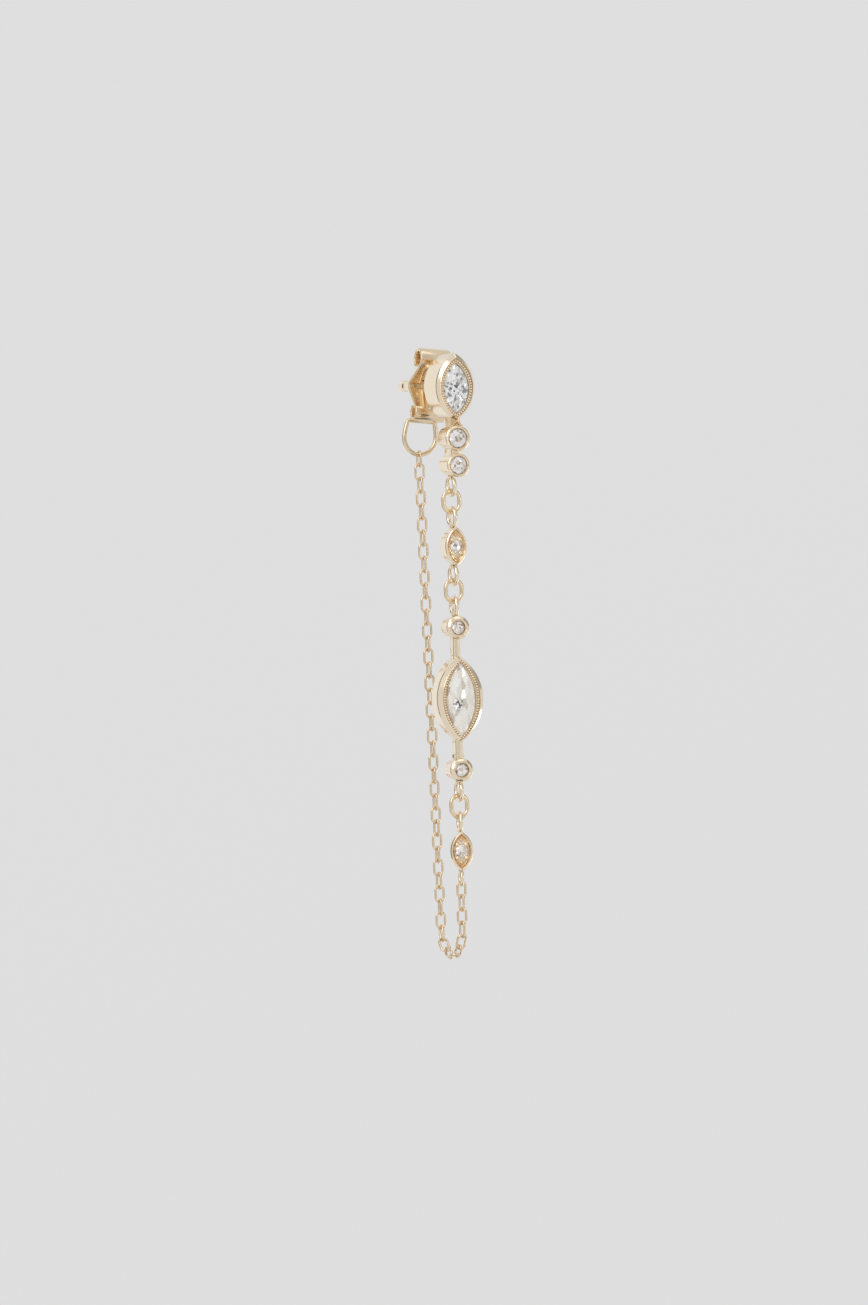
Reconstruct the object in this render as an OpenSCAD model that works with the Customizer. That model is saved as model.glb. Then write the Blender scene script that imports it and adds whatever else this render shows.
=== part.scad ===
// Chain earring: a marquise stud, three jump linked stations below it, and a fine cable
// chain from the lowest station round to the friction back behind the ear.
// Stones face -Y, the ear post runs to +Y, and the origin is where the post leaves the stud.

/* [Stud] */
// Length of the stud's marquise bezel, tip to tip
stud_len = 5.1; // [4.9:0.1:5.3]
// Width of the stud's marquise bezel
stud_wid = 3.1; // [3:0.1:3.2]
// Depth of the stud's bezel, from its front rim to its back
stud_deep = 3.1; // [2.9:0.1:3.3]
// Width of the stud's rim, from its outer edge to the stone that shows
stud_rim = 0.56; // [0.52:0.02:0.58]
// Depth of the bevel round the stud's rim
stud_bevel_deep = 0.38; // [0.3:0.02:0.44]
// Diameter of the upper round bezel
upper_round_d = 1.95; // [1.85:0.05:2]
// Diameter of the lower round bezel
lower_round_d = 1.8; // [1.7:0.05:1.85]
// Depth of the two round bezels
stud_round_deep = 2.1; // [1.9:0.1:2.3]
// Height of the upper round bezel's middle below the post
upper_round_drop = 3.84; // [3.8:0.02:3.88]
// Height of the lower round bezel's middle below the post
lower_round_drop = 5.84; // [5.82:0.02:5.88]

/* [Post and friction back] */
// Length of the ear post behind the stud
post_len = 7.9; // [7:0.1:10]
// Diameter of the ear post
post_d = 0.85; // [0.7:0.05:0.9]
// Diameter of the hole for the post in the friction back
post_hole_d = 1; // [0.98:0.02:1.1]
// Where the middle of the friction back sits on the post, behind the stud
back_at = 3.6; // [3.5:0.1:3.7]
// How far the friction back is turned on the post, in degrees
back_turn = 6; // [0:1:8]
// Width of the friction back's strip
strip_wid = 2.45; // [2.2:0.05:2.7]
// Thickness of the strip
strip_thick = 0.26; // [0.22:0.02:0.28]
// Radius of the scrolls, at the middle of the strip
scroll_r = 0.69; // [0.66:0.01:0.7]
// Width of the D ring under the friction back
d_ring_wid = 2.9; // [2.8:0.05:3]
// Height of the D ring, from its bar to its lowest point
d_ring_drop = 2.52; // [2.5:0.02:2.6]
// Diameter of the D ring's wire
d_ring_wire = 0.34; // [0.3:0.02:0.36]

/* [Stations] */
// Length of the small marquise plates
small_len = 3; // [2.9:0.05:3.1]
// Width of the small marquise plates
small_wid = 1.74; // [1.68:0.02:1.8]
// Depth of the small marquise plates
small_deep = 1.4; // [1.3:0.1:1.5]
// Diameter of the stone in each small plate
small_stone_d = 0.9; // [0.84:0.02:0.92]
// Length of the big marquise bezel
big_len = 6.44; // [6.4:0.04:6.52]
// Width of the big marquise bezel
big_wid = 3.65; // [3.6:0.05:3.75]
// Depth of the big marquise bezel
big_deep = 2.2; // [2.1:0.1:2.3]
// Width of the big marquise's rim at its middle, from its outer edge to the stone that shows
big_rim = 0.68; // [0.64:0.02:0.7]
// Width of the same rim at the two tips
big_tip_rim = 0.44; // [0.42:0.02:0.48]
// Depth of the bevel round the big marquise's rim
big_bevel_deep = 0.44; // [0.36:0.02:0.5]
// Diameter of the round bezels above and below the big marquise
main_round_d = 1.8; // [1.76:0.02:1.84]
// Depth of those round bezels
main_round_deep = 2; // [1.9:0.1:2.2]
// Length of each bar between a round bezel and the big marquise
bar_gap = 1.2; // [1.16:0.02:1.3]
// Width of the bars, as seen from the front
bar_wid = 0.48; // [0.4:0.02:0.56]
// Depth of the bars
bar_deep = 0.9; // [0.8:0.05:1]

/* [Loops and jump links] */
// Outer diameter of the soldered loops
loop_d = 1.73; // [1.68:0.01:1.76]
// Diameter of the wire of the loops and jump links
ring_wire = 0.32; // [0.28:0.01:0.34]
// Length of the jump links
jump_len = 1.97; // [1.92:0.01:2.04]
// Width of the jump links
jump_wid = 1.6; // [1.5:0.05:1.7]
// Outer diameter of the last loop, which holds the cable chain
end_loop_d = 1.42; // [1.38:0.01:1.44]
// Diameter of the wire of the last loop
end_loop_wire = 0.28; // [0.26:0.01:0.3]

/* [Cable chain] */
// Number of links in the cable chain, an even number
chain_links = 46; // [46:2:46]
// Diameter of the chain's wire
link_wire = 0.18; // [0.16:0.01:0.18]
// Outer width of a link
link_wid = 0.96; // [0.96:0.01:1]
// Radius of the turn at the bottom of the chain
turn_r = 2.1; // [2.1:0.02:2.16]
// Height of the turn's middle below the post
turn_drop = 40.52; // [40.4:0.02:40.6]
// Where the turn's middle lies behind the stud's back
turn_back = 0.74; // [0.7:0.02:0.8]

/* [Hidden] */
$fn = 48;

gold = "#e3c591";
pale_gold = "#ecd9b4";
diamond = "#eef0f1";

// Clearances and joints of the metalwork
play = 0.04;              // between two rings that hang in each other
solder = 0.2;             // how far a soldered loop runs into its bezel
stone_gap = 0.03;         // round a stone in its seat
lip_over = 0.07;          // how far a rim laps over its stone
ledge = 0.06;             // width of the ledge that a stone rests on
girdle = 0.05;            // thickness of a stone's edge
round_rim_part = 0.4;     // share of a round bezel's radius that its rim takes
stud_slim = 0.12;         // how much narrower the stud's bezel is at its back, each side
slim = 0.12;              // the same on every other bezel
stud_plate = 0.6;         // thickness of the plate that closes the stud's back

// The line that the stations hang on, ahead of the stud's back
strand_y = -1.4;
stud_front = -stud_deep;

// Lengths of the openings in the two marquise bezels
stud_cut = even_cut(stud_len, stud_wid, stud_rim);
big_cut = big_len - 2 * big_tip_rim;

// Solder necks between the stud's three bezels
neck_wid = 0.55;
neck_deep = 1.4;
neck_y = -1.75;

// Yaw of each station about that line, and how far its front stands ahead of it
small_1_yaw = 0;
main_yaw = -5;
small_2_yaw = -14;
small_ahead = 0.85;
big_ahead = 1.38;
round_ahead = 1.05;

// Heights, worked down the strand from the lower round bezel
function hang(bottom, wire) = bottom + 2 * wire + play;
stud_loop_top = -lower_round_drop - lower_round_d / 2 + solder;
jump_1_top = hang(stud_loop_top - loop_d, ring_wire);
small_1_top = hang(jump_1_top - jump_len, ring_wire);
small_1_z = small_1_top - loop_d + solder - small_len / 2;
small_1_low = small_1_z - small_len / 2 + solder;
jump_2_top = hang(small_1_low - loop_d, ring_wire);
main_top = hang(jump_2_top - jump_len, ring_wire);
round_1_z = main_top - loop_d + solder - main_round_d / 2;
big_z = round_1_z - main_round_d / 2 - bar_gap - big_len / 2;
round_2_z = big_z - big_len / 2 - bar_gap - main_round_d / 2;
main_low = round_2_z - main_round_d / 2 + solder;
jump_3_top = hang(main_low - loop_d, ring_wire);
small_2_top = hang(jump_3_top - jump_len, ring_wire);
small_2_z = small_2_top - loop_d + solder - small_len / 2;
small_2_low = small_2_z - small_len / 2 + solder;

// Scrolls of the friction back: middle of each, as [back, height]
upper_scroll = [back_at - 1.45, 2];
lower_scroll = [back_at - 1.45, -1.85];
scroll_sweep = 280;
arm_start = 0.2;

// D ring: its bar is soldered along the back of the lower scroll
d_ring_side = -0.34;
d_ring_seat = -55;
d_ring_reach = scroll_r + strip_thick / 2 + d_ring_wire / 2 - 0.03;
d_ring_y = lower_scroll[0] + d_ring_reach * cos(d_ring_seat);
d_ring_z = lower_scroll[1] + d_ring_reach * sin(d_ring_seat);
d_low = d_ring_z - d_ring_drop;
d_low_x = d_ring_side * cos(back_turn) + d_low * sin(back_turn);
d_low_z = d_low * cos(back_turn) - d_ring_side * sin(back_turn);

// Chain path: straight, round the turn, straight, as [back, height]
link_slack = 0.26;
link_play = 0.1;
link_rings = 14;
wire_sides = 6;
link_guess = 1.6;
turn_mid = [turn_back, -turn_drop];
front_end = [strand_y, small_2_low - end_loop_d + end_loop_wire + link_play + link_wire - link_guess / 2];
back_end = [d_ring_y, d_low_z + d_ring_wire / 2 + link_play + link_wire - link_guess / 2];
front_away = norm(front_end - turn_mid);
back_away = norm(back_end - turn_mid);
turn_from = atan2(front_end[1] - turn_mid[1], front_end[0] - turn_mid[0]) + acos(turn_r / front_away);
turn_to = 360 + atan2(back_end[1] - turn_mid[1], back_end[0] - turn_mid[0]) - acos(turn_r / back_away);
front_run = sqrt(front_away ^ 2 - turn_r ^ 2);
back_run = sqrt(back_away ^ 2 - turn_r ^ 2);
turn_run = turn_r * (turn_to - turn_from) * PI / 180;
pitch = (front_run + turn_run + back_run) / (chain_links - 1);
link_len = pitch + 2 * link_wire + link_slack;

function on_turn(a) = turn_mid + turn_r * [cos(a), sin(a)];
function unit(v) = v / norm(v);
function path_way(s) =
    s < front_run ? unit(on_turn(turn_from) - front_end) :
    s > front_run + turn_run ? unit(back_end - on_turn(turn_to)) :
    let (a = turn_from + (s - front_run) / turn_r * 180 / PI) [-sin(a), cos(a)];
function path_point(s) =
    s < front_run ? front_end + s * path_way(s) :
    s > front_run + turn_run ? on_turn(turn_to) + (s - front_run - turn_run) * path_way(s) :
    on_turn(turn_from + (s - front_run) / turn_r * 180 / PI);
// The back strand drifts sideways to the D ring
function path_side(s) = d_low_x * max(0, (s - front_run - turn_run) / back_run);

// A bezel outline is round where its length equals its width, and else two arcs that meet
// at the tips. The slab runs from y0 to y1, its side in0 and in1 inside the outline.
module slab(len, wid, y0, y1, in0, in1) {
    bow = (len ^ 2 + wid ^ 2) / (4 * wid);
    mid = bow - wid / 2;
    translate([0, y0, 0])
        rotate([-90, 0, 0])
            if (len == wid) {
                cylinder(h = y1 - y0, r1 = wid / 2 - in0, r2 = wid / 2 - in1);
            } else {
                intersection() {
                    translate([mid, 0, 0]) cylinder(h = y1 - y0, r1 = bow - in0, r2 = bow - in1);
                    translate([-mid, 0, 0]) cylinder(h = y1 - y0, r1 = bow - in0, r2 = bow - in1);
                }
            }
}

// Depth of the lip's edge and of the stone's girdle behind a rim of this width
function lip_deep(rim) = 0.3 * rim;
function girdle_deep(rim) = lip_deep(rim) + 0.08;

// A bezel with its front at Y = 0: bevelled rim, bright cut slope, seat and shaft. The
// opening that shows the stone is cut_len by cut_wid, and rim is its distance at the middle.
module bezel(len, wid, deep, rim, cut_len, bevel_deep, narrow, plate) {
    cut_wid = wid - 2 * rim;
    bevel = 0.6 * rim;
    slope = 0.28 * rim;
    ahead = 0.05;
    lip = lip_deep(rim);
    seat = girdle_deep(rim) + girdle + 0.08;
    pocket_out = lip_over + stone_gap;
    shaft_out = lip_over - ledge;
    difference() {
        union() {
            slab(len, wid, 0, bevel_deep, bevel, 0);
            slab(len, wid, bevel_deep, deep, 0, narrow);
        }
        slab(cut_len, cut_wid, -ahead, lip, -slope * (1 + ahead / lip), 0);
        slab(cut_len, cut_wid, lip, seat, -pocket_out, -pocket_out);
        slab(cut_len, cut_wid, seat - 0.01, plate > 0 ? deep - plate : deep + 1, -shaft_out, -shaft_out);
    }
}

// Length of the opening in a marquise bezel whose rim has the same width all round
function even_cut(len, wid, rim) =
    let (bow = (len ^ 2 + wid ^ 2) / (4 * wid))
    2 * sqrt((bow - rim) ^ 2 - (bow - wid / 2) ^ 2);

// A round bezel on the same pattern
module round_bezel(d, deep, narrow) {
    rim = round_rim(d);
    bezel(d, d, deep, rim, d - 2 * rim, 0.5 * rim, narrow, 0);
}

function round_rim(d) = round_rim_part * d / 2;

// Point of a stone's outline, for steps of a sixteenth from its upper tip, times a scale
function outline(len, wid, step, part) =
    let (bow = (len ^ 2 + wid ^ 2) / (4 * wid))
    let (open = asin(len / 2 / bow))
    let (k = (step + 16) % 16)
    let (a = open * (1 - (k > 8 ? 16 - k : k) / 4))
    len == wid ? part * len / 2 * [sin(22.5 * k), cos(22.5 * k)] :
    part * [(k > 8 ? -1 : 1) * (bow * cos(a) - bow + wid / 2), bow * sin(a)];

// A brilliant cut stone: table of eight sides, eight stars, eight kites, sixteen upper and
// sixteen lower halves and eight pavilion mains. Its girdle starts at Y = girdle_y.
module brilliant(len, wid, girdle_y) {
    table = 0.56;
    star_at = 0.82;
    half_at = 0.26;
    crown = 0.13 * wid;
    pavilion = 0.42 * wid;
    fold = cos(22.5);
    star_up = crown * (1 - (star_at * fold - table) / (1 - table));
    half_down = pavilion * (1 - half_at * fold);
    function at(step, part, y) = let (p = outline(len, wid, step, part)) [p[0], y, p[1]];
    points = [
        for (i = [0:7]) at(2 * i, table, girdle_y - crown),
        for (i = [0:7]) at(2 * i + 1, star_at, girdle_y - star_up),
        for (j = [0:15]) at(j, 1, girdle_y),
        for (j = [0:15]) at(j, 1, girdle_y + girdle),
        for (i = [0:7]) at(2 * i + 1, half_at, girdle_y + girdle + half_down),
        [0, girdle_y + girdle + pavilion, 0]
    ];
    function t(i) = (i + 8) % 8;
    function m(i) = 8 + (i + 8) % 8;
    function g(j) = 16 + (j + 16) % 16;
    function b(j) = 32 + (j + 16) % 16;
    function n(i) = 48 + (i + 8) % 8;
    culet = 56;
    faces = [
        [for (i = [0:7]) t(i)],
        for (i = [0:7]) each [
            [t(i), m(i), t(i + 1)],
            [t(i), m(i - 1), g(2 * i)],
            [t(i), g(2 * i), m(i)],
            [m(i), g(2 * i), g(2 * i + 1)],
            [m(i), g(2 * i + 1), g(2 * i + 2)],
            [n(i), b(2 * i + 1), b(2 * i)],
            [n(i), b(2 * i + 2), b(2 * i + 1)],
            [culet, n(i), b(2 * i)],
            [culet, b(2 * i), n(i - 1)]
        ],
        for (j = [0:15]) [g(j), b(j), b(j + 1), g(j + 1)]
    ];
    color(diamond) polyhedron(points, faces);
}

// The stone behind an opening of this size, which the lip laps over all round
module cut_stone(cut_len, cut_wid, rim) {
    bow = (cut_len ^ 2 + cut_wid ^ 2) / (4 * cut_wid);
    mid = bow - cut_wid / 2;
    stone_wid = cut_wid + 2 * lip_over;
    stone_len = cut_len == cut_wid ? stone_wid : 2 * sqrt((bow + lip_over) ^ 2 - mid ^ 2);
    brilliant(stone_len, stone_wid, girdle_deep(rim));
}

module round_stone(d) {
    cut_stone(d - 2 * round_rim(d), d - 2 * round_rim(d), round_rim(d));
}

// A round ring in the plane of the strand, hanging down from its top
module soldered_loop(top, d, wire) {
    translate([0, 0, top - d / 2])
        rotate([90, 0, 90])
            rotate_extrude()
                translate([(d - wire) / 2, 0]) circle(d = wire);
}

// A jump link across the strand, hanging down from its top
module jump_link(top) {
    leg = jump_len - jump_wid;
    color(gold)
        translate([0, strand_y, top - jump_len / 2]) {
            for (turn = [0, 180])
                rotate([0, turn, 0])
                    translate([0, 0, leg / 2])
                        rotate([90, 0, 0])
                            rotate_extrude(angle = 180)
                                translate([(jump_wid - ring_wire) / 2, 0]) circle(d = ring_wire);
            for (side = [-1, 1])
                translate([side * (jump_wid - ring_wire) / 2, 0, 0])
                    cylinder(d = ring_wire, h = leg, center = true);
        }
}

// Puts a station at its height and yaw on the strand
module on_strand(z, yaw) {
    translate([0, strand_y, z])
        rotate([0, 0, yaw])
            children();
}

module neck(top, bottom) {
    translate([-neck_wid / 2, neck_y - neck_deep / 2, bottom]) cube([neck_wid, neck_deep, top - bottom]);
}

module stud_setting() {
    color(pale_gold) {
        translate([0, stud_front, 0])
            bezel(stud_len, stud_wid, stud_deep, stud_rim, stud_cut, stud_bevel_deep, stud_slim, stud_plate);
        translate([0, stud_front, -upper_round_drop]) round_bezel(upper_round_d, stud_round_deep, slim);
        translate([0, stud_front, -lower_round_drop]) round_bezel(lower_round_d, stud_round_deep, slim);
        neck(-stud_len / 2 + 0.35, -upper_round_drop + upper_round_d / 2 - 0.22);
        neck(-upper_round_drop - upper_round_d / 2 + 0.2, -lower_round_drop + lower_round_d / 2 - 0.2);
        translate([0, strand_y, 0]) soldered_loop(stud_loop_top, loop_d, ring_wire);
        ear_post();
    }
}

module ear_post() {
    tip = 0.2;
    fillet = 0.25;
    translate([0, -0.2, 0])
        rotate([-90, 0, 0]) {
            cylinder(d = post_d, h = post_len + 0.2 - tip);
            translate([0, 0, post_len + 0.2 - tip]) cylinder(d1 = post_d, d2 = post_d - 2 * tip, h = tip);
            translate([0, 0, 0.2]) cylinder(d1 = post_d + 2 * fillet, d2 = post_d, h = fillet);
        }
}

module stud_marquise_stone() {
    translate([0, stud_front, 0]) cut_stone(stud_cut, stud_wid - 2 * stud_rim, stud_rim);
}

module stud_round_stone_1() {
    translate([0, stud_front, -upper_round_drop]) round_stone(upper_round_d);
}

module stud_round_stone_2() {
    translate([0, stud_front, -lower_round_drop]) round_stone(lower_round_d);
}

// One arm of the friction back: straight from the hole to its scroll, then curled. The
// straight part is a touch thinner, so that its sides end inside the scroll's.
module scroll_arm(mid, up) {
    start = [back_at, up * arm_start];
    away = norm(start - mid);
    touch = atan2(start[1] - mid[1], start[0] - mid[0]) - up * acos(scroll_r / away);
    end = mid + scroll_r * [cos(touch), sin(touch)];
    lean = atan2(end[1] - start[1], end[0] - start[0]);
    thick = strip_thick - 0.02;
    translate([-strip_wid / 2, start[0], start[1]])
        rotate([lean, 0, 0])
            translate([0, 0, -thick / 2]) cube([strip_wid, norm(end - start) + 0.06, thick]);
    translate([0, mid[0], mid[1]])
        rotate([up > 0 ? touch - scroll_sweep : touch, 0, 0])
            rotate([0, 90, 0])
                rotate([0, 0, 90])
                    rotate_extrude(angle = scroll_sweep)
                        translate([scroll_r, 0]) square([strip_thick, strip_wid], center = true);
}

module butterfly_back() {
    color(gold) rotate([0, back_turn, 0]) {
        difference() {
            union() {
                scroll_arm(upper_scroll, 1);
                scroll_arm(lower_scroll, -1);
                translate([-strip_wid / 2, back_at - strip_thick / 2, -arm_start - 0.04])
                    cube([strip_wid, strip_thick, 2 * arm_start + 0.08]);
            }
            translate([0, back_at - 3, 0]) rotate([-90, 0, 0]) cylinder(d = post_hole_d, h = 4);
        }
        d_ring();
    }
}

module d_ring() {
    bend = (d_ring_wid - d_ring_wire) / 2;
    leg = d_ring_drop - bend;
    bar_wire = d_ring_wire + 0.02;
    translate([d_ring_side, d_ring_y, d_ring_z]) {
        rotate([0, 90, 0]) cylinder(d = bar_wire, h = 2 * bend + 0.2, center = true);
        for (side = [-1, 1])
            translate([side * bend, 0, -leg]) cylinder(d = d_ring_wire, h = leg);
        translate([0, 0, -leg])
            rotate([-90, 0, 0])
                rotate_extrude(angle = 180)
                    translate([bend, 0]) circle(d = d_ring_wire);
    }
}

// A small marquise plate: a bright cut hollow with a stone seat and four grains
module small_plate(low_d, low_wire) {
    bevel = 0.1;
    rim_in = 0.17;
    floor_in = 0.3;
    hollow = 0.17;
    grain_d = 0.2;
    seat = hollow + girdle_deep(0) + girdle + 0.08;
    color(gold) {
        translate([0, -small_ahead, 0]) {
            difference() {
                union() {
                    slab(small_len, small_wid, 0, bevel, bevel, 0);
                    slab(small_len, small_wid, bevel, small_deep, 0, slim);
                }
                slab(small_len, small_wid, -hollow, hollow, 2 * rim_in - floor_in, floor_in);
                slab(small_stone_d, small_stone_d, 0, seat, -stone_gap, -stone_gap);
                slab(small_stone_d, small_stone_d, seat - 0.01, small_deep + 1, ledge, ledge);
            }
            for (side = [-1, 1], up = [-1, 1])
                translate([side * 0.33, hollow - 0.02, up * 0.55]) sphere(d = grain_d);
        }
        soldered_loop(small_len / 2 + loop_d - solder, loop_d, ring_wire);
        soldered_loop(-small_len / 2 + solder, low_d, low_wire);
    }
}

module small_plate_stone() {
    translate([0, -small_ahead, 0]) brilliant(small_stone_d, small_stone_d, 0.17 + girdle_deep(0));
}

module small_marquise_1() {
    on_strand(small_1_z, small_1_yaw) small_plate(loop_d, ring_wire);
}

module small_marquise_stone_1() {
    on_strand(small_1_z, small_1_yaw) small_plate_stone();
}

module small_marquise_2() {
    on_strand(small_2_z, small_2_yaw) small_plate(end_loop_d, end_loop_wire);
}

module small_marquise_stone_2() {
    on_strand(small_2_z, small_2_yaw) small_plate_stone();
}

// The bar from a round bezel, up = 1 above the big marquise and -1 below it
module bar(up) {
    inner = big_len / 2 - 0.4;
    outer = big_len / 2 + bar_gap + 0.2;
    translate([-bar_wid / 2, -bar_deep / 2, up > 0 ? inner : -outer])
        cube([bar_wid, bar_deep, outer - inner]);
}

module main_station() {
    color(pale_gold)
        on_strand(big_z, main_yaw) {
            translate([0, -big_ahead, 0])
                bezel(big_len, big_wid, big_deep, big_rim, big_cut, big_bevel_deep, slim, 0);
            for (z = [round_1_z, round_2_z] - [big_z, big_z])
                translate([0, -round_ahead, z]) round_bezel(main_round_d, main_round_deep, slim);
            bar(1);
            bar(-1);
            translate([0, 0, -big_len / 2 - bar_gap - 0.05]) cylinder(d = 0.95, h = 0.34);
            soldered_loop(main_top - big_z, loop_d, ring_wire);
            soldered_loop(main_low - big_z, loop_d, ring_wire);
        }
}

module big_marquise_stone() {
    on_strand(big_z, main_yaw)
        translate([0, -big_ahead, 0]) cut_stone(big_cut, big_wid - 2 * big_rim, big_rim);
}

module main_round_stone_1() {
    on_strand(round_1_z, main_yaw)
        translate([0, -round_ahead, 0]) round_stone(main_round_d);
}

module main_round_stone_2() {
    on_strand(round_2_z, main_yaw)
        translate([0, -round_ahead, 0]) round_stone(main_round_d);
}

// Corners of one chain link: a ring of corners at each step round its oval centreline.
// Odd links lie in the plane of the strand, the others across it.
function link_corners(i) =
    let (s = i * pitch)
    let (p = path_point(s))
    let (w = path_way(s))
    let (mid = [path_side(s), p[0], p[1]])
    let (along = [0, w[0], w[1]])
    let (across = i % 2 == 1 ? [0, -w[1], w[0]] : [1, 0, 0])
    let (off = cross(along, across))
    let (r = (link_wid - link_wire) / 2)
    let (half = link_len / 2 - link_wire / 2 - r)
    let (step = 180 / (link_rings / 2 - 1))
    [
        for (j = [0:link_rings - 1])
            let (top = j < link_rings / 2)
            let (a = top ? -90 + step * j : 90 + step * (j - link_rings / 2))
            let (out = cos(a) * along + sin(a) * across)
            for (k = [0:wire_sides - 1])
                let (t = 360 * k / wire_sides)
                mid + (top ? half : -half) * along + (r + cos(t) * link_wire / 2) * out
                    + sin(t) * link_wire / 2 * off
    ];

function link_faces(i) =
    let (first = i * link_rings * wire_sides)
    [
        for (j = [0:link_rings - 1], k = [0:wire_sides - 1])
            let (j2 = (j + 1) % link_rings)
            let (k2 = (k + 1) % wire_sides)
            first * [1, 1, 1, 1]
                + [j * wire_sides + k, j * wire_sides + k2, j2 * wire_sides + k2, j2 * wire_sides + k]
    ];

module cable_chain() {
    color(gold)
        polyhedron(
            points = [for (i = [0:chain_links - 1]) each link_corners(i)],
            faces = [for (i = [0:chain_links - 1]) each link_faces(i)]
        );
}

stud_setting();
stud_marquise_stone();
stud_round_stone_1();
stud_round_stone_2();
butterfly_back();
jump_link(jump_1_top);  // jump_link_1
jump_link(jump_2_top);  // jump_link_2
jump_link(jump_3_top);  // jump_link_3
small_marquise_1();
small_marquise_stone_1();
main_station();
main_round_stone_1();
big_marquise_stone();
main_round_stone_2();
small_marquise_2();
small_marquise_stone_2();
cable_chain();
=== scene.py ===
import math
import random

import bmesh
import bpy
from mathutils import Matrix, Vector


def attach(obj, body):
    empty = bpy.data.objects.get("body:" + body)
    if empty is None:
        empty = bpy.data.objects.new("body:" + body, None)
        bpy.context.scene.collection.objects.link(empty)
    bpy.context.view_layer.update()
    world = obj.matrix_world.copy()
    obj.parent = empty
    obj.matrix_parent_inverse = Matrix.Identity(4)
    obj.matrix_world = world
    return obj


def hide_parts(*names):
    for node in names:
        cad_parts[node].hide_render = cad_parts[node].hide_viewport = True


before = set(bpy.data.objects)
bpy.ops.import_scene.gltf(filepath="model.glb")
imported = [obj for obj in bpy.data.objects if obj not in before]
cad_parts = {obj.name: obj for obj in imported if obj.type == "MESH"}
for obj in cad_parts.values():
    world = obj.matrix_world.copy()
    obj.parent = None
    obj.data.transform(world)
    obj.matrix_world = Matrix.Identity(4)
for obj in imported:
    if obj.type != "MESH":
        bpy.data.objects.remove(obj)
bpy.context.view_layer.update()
mm = 0.001  # every shape below is written in millimetres
print("frame loaded with", len(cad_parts), "nodes")


# camera, at the photo's angle
camera = {
    "azimuth": -22.03,
    "elevation": 2.3,
    "distance": 800,
    "aim": (-1.72, -1.4, -19.79),
    "lens": 295.7,
    "lean": 1.49,  # the photo's upright leans this far to the left
}


def direction(azimuth, elevation):
    a, e = math.radians(azimuth), math.radians(elevation)
    return Vector((math.sin(a) * math.cos(e), -math.cos(a) * math.cos(e), math.sin(e)))


def setCamera():
    away = direction(camera["azimuth"], camera["elevation"])
    right = Vector((0, 0, 1)).cross(away).normalized()
    up = away.cross(right)
    lean = math.radians(camera["lean"])
    upLeaning = math.cos(lean) * up + math.sin(lean) * right
    rightLeaning = math.cos(lean) * right - math.sin(lean) * up
    spot = (Vector(camera["aim"]) + away * camera["distance"]) * mm
    data = bpy.data.cameras.new("photoCamera")
    data.lens = camera["lens"]
    data.sensor_width = 36
    data.clip_start = 0.01
    data.clip_end = 20
    eye = bpy.data.objects.new("photoCamera", data)
    bpy.context.scene.collection.objects.link(eye)
    turn = Matrix((rightLeaning, upLeaning, away)).transposed()
    eye.matrix_world = Matrix.Translation(spot) @ turn.to_4x4()
    bpy.context.scene.camera = eye


setCamera()


# finishes
def nodeTree(name):
    material = bpy.data.materials.new(name)
    material.use_nodes = True
    tree = material.node_tree
    tree.nodes.clear()
    return material, tree


def addNode(tree, kind, inputs=None, **settings):
    node = tree.nodes.new(kind)
    for key, value in settings.items():
        setattr(node, key, value)
    for key, value in (inputs or {}).items():
        if isinstance(value, bpy.types.NodeSocket):
            tree.links.new(value, node.inputs[key])
        else:
            node.inputs[key].default_value = value
    return node


def mixColours(tree, amount, first, second):
    mix = addNode(tree, "ShaderNodeMix", data_type="RGBA")
    tree.links.new(amount, mix.inputs[0])
    for socket, value in ((mix.inputs[6], first), (mix.inputs[7], second)):
        if isinstance(value, bpy.types.NodeSocket):
            tree.links.new(value, socket)
        else:
            socket.default_value = (*value, 1)
    return mix.outputs[2]


# gold: a cloudy tint, a slow wave as left by polishing, and a fine grain in the shine
def goldFinish(name, look):
    material, tree = nodeTree(name)
    where = addNode(tree, "ShaderNodeTexCoord").outputs["Object"]
    cloud, grain, wave = (
        addNode(tree, "ShaderNodeTexNoise", {"Vector": where, "Scale": look[key], "Detail": detail})
        for key, detail in (("cloudScale", 3.0), ("grainScale", 5.0), ("waveScale", 2.0)))
    tint = mixColours(tree, cloud.outputs["Fac"], look["pale"], look["warm"])
    rough = addNode(tree, "ShaderNodeMapRange", {
        "Value": grain.outputs["Fac"], "From Min": 0.3, "From Max": 0.7,
        "To Min": look["rough"] - look["roughSpread"], "To Max": look["rough"] + look["roughSpread"]})
    wavy = addNode(tree, "ShaderNodeBump", {
        "Height": wave.outputs["Fac"], "Strength": 1.0, "Distance": look["waveHigh"] * mm})
    fine = addNode(tree, "ShaderNodeBump", {
        "Height": grain.outputs["Fac"], "Strength": 1.0, "Distance": look["grainHigh"] * mm,
        "Normal": wavy.outputs["Normal"]})
    shader = addNode(tree, "ShaderNodeBsdfPrincipled", {
        "Base Color": tint, "Roughness": rough.outputs["Result"], "Normal": fine.outputs["Normal"],
        "Metallic": 1.0})
    addNode(tree, "ShaderNodeOutputMaterial", {"Surface": shader.outputs["BSDF"]})
    return material


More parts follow.
